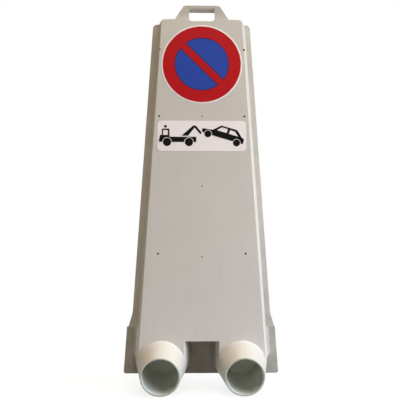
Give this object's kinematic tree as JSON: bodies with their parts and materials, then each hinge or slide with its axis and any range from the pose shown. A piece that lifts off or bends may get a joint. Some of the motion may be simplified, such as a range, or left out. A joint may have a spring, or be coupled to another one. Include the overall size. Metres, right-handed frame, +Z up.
{
  "type": "portable no-parking sign",
  "caption": "Moulded portable no-parking panel with a carry handle, a red and blue sign disc, a tow-away strip and two tapered pipe sleeves at its foot.",
  "frame": {"origin": "on the front face, midway between the points where the two sleeve axes cross it", "axes": "+Z up along the panel, +Y from the front face to the open back, +X to the right as the front is seen"},
  "size_m": [0.4768, 0.1785, 1.1674],
  "materials": {
    "panel_plastic": "fine satin grain, warm light grey",
    "white_film": "white sign film",
    "red_print": "red print on film",
    "blue_print": "blue print on film",
    "black_print": "black print on film"
  },
  "bodies": {
    "root": {"moulded_panel": "panel_plastic", "white_disc_film": "white_film", "red_ring_and_bar": "red_print", "blue_field_upper": "blue_print", "blue_field_lower": "blue_print", "white_strip_film": "white_film", "tow_truck_print": "black_print", "towed_car_print": "black_print"}
  },
  "joints": []
}
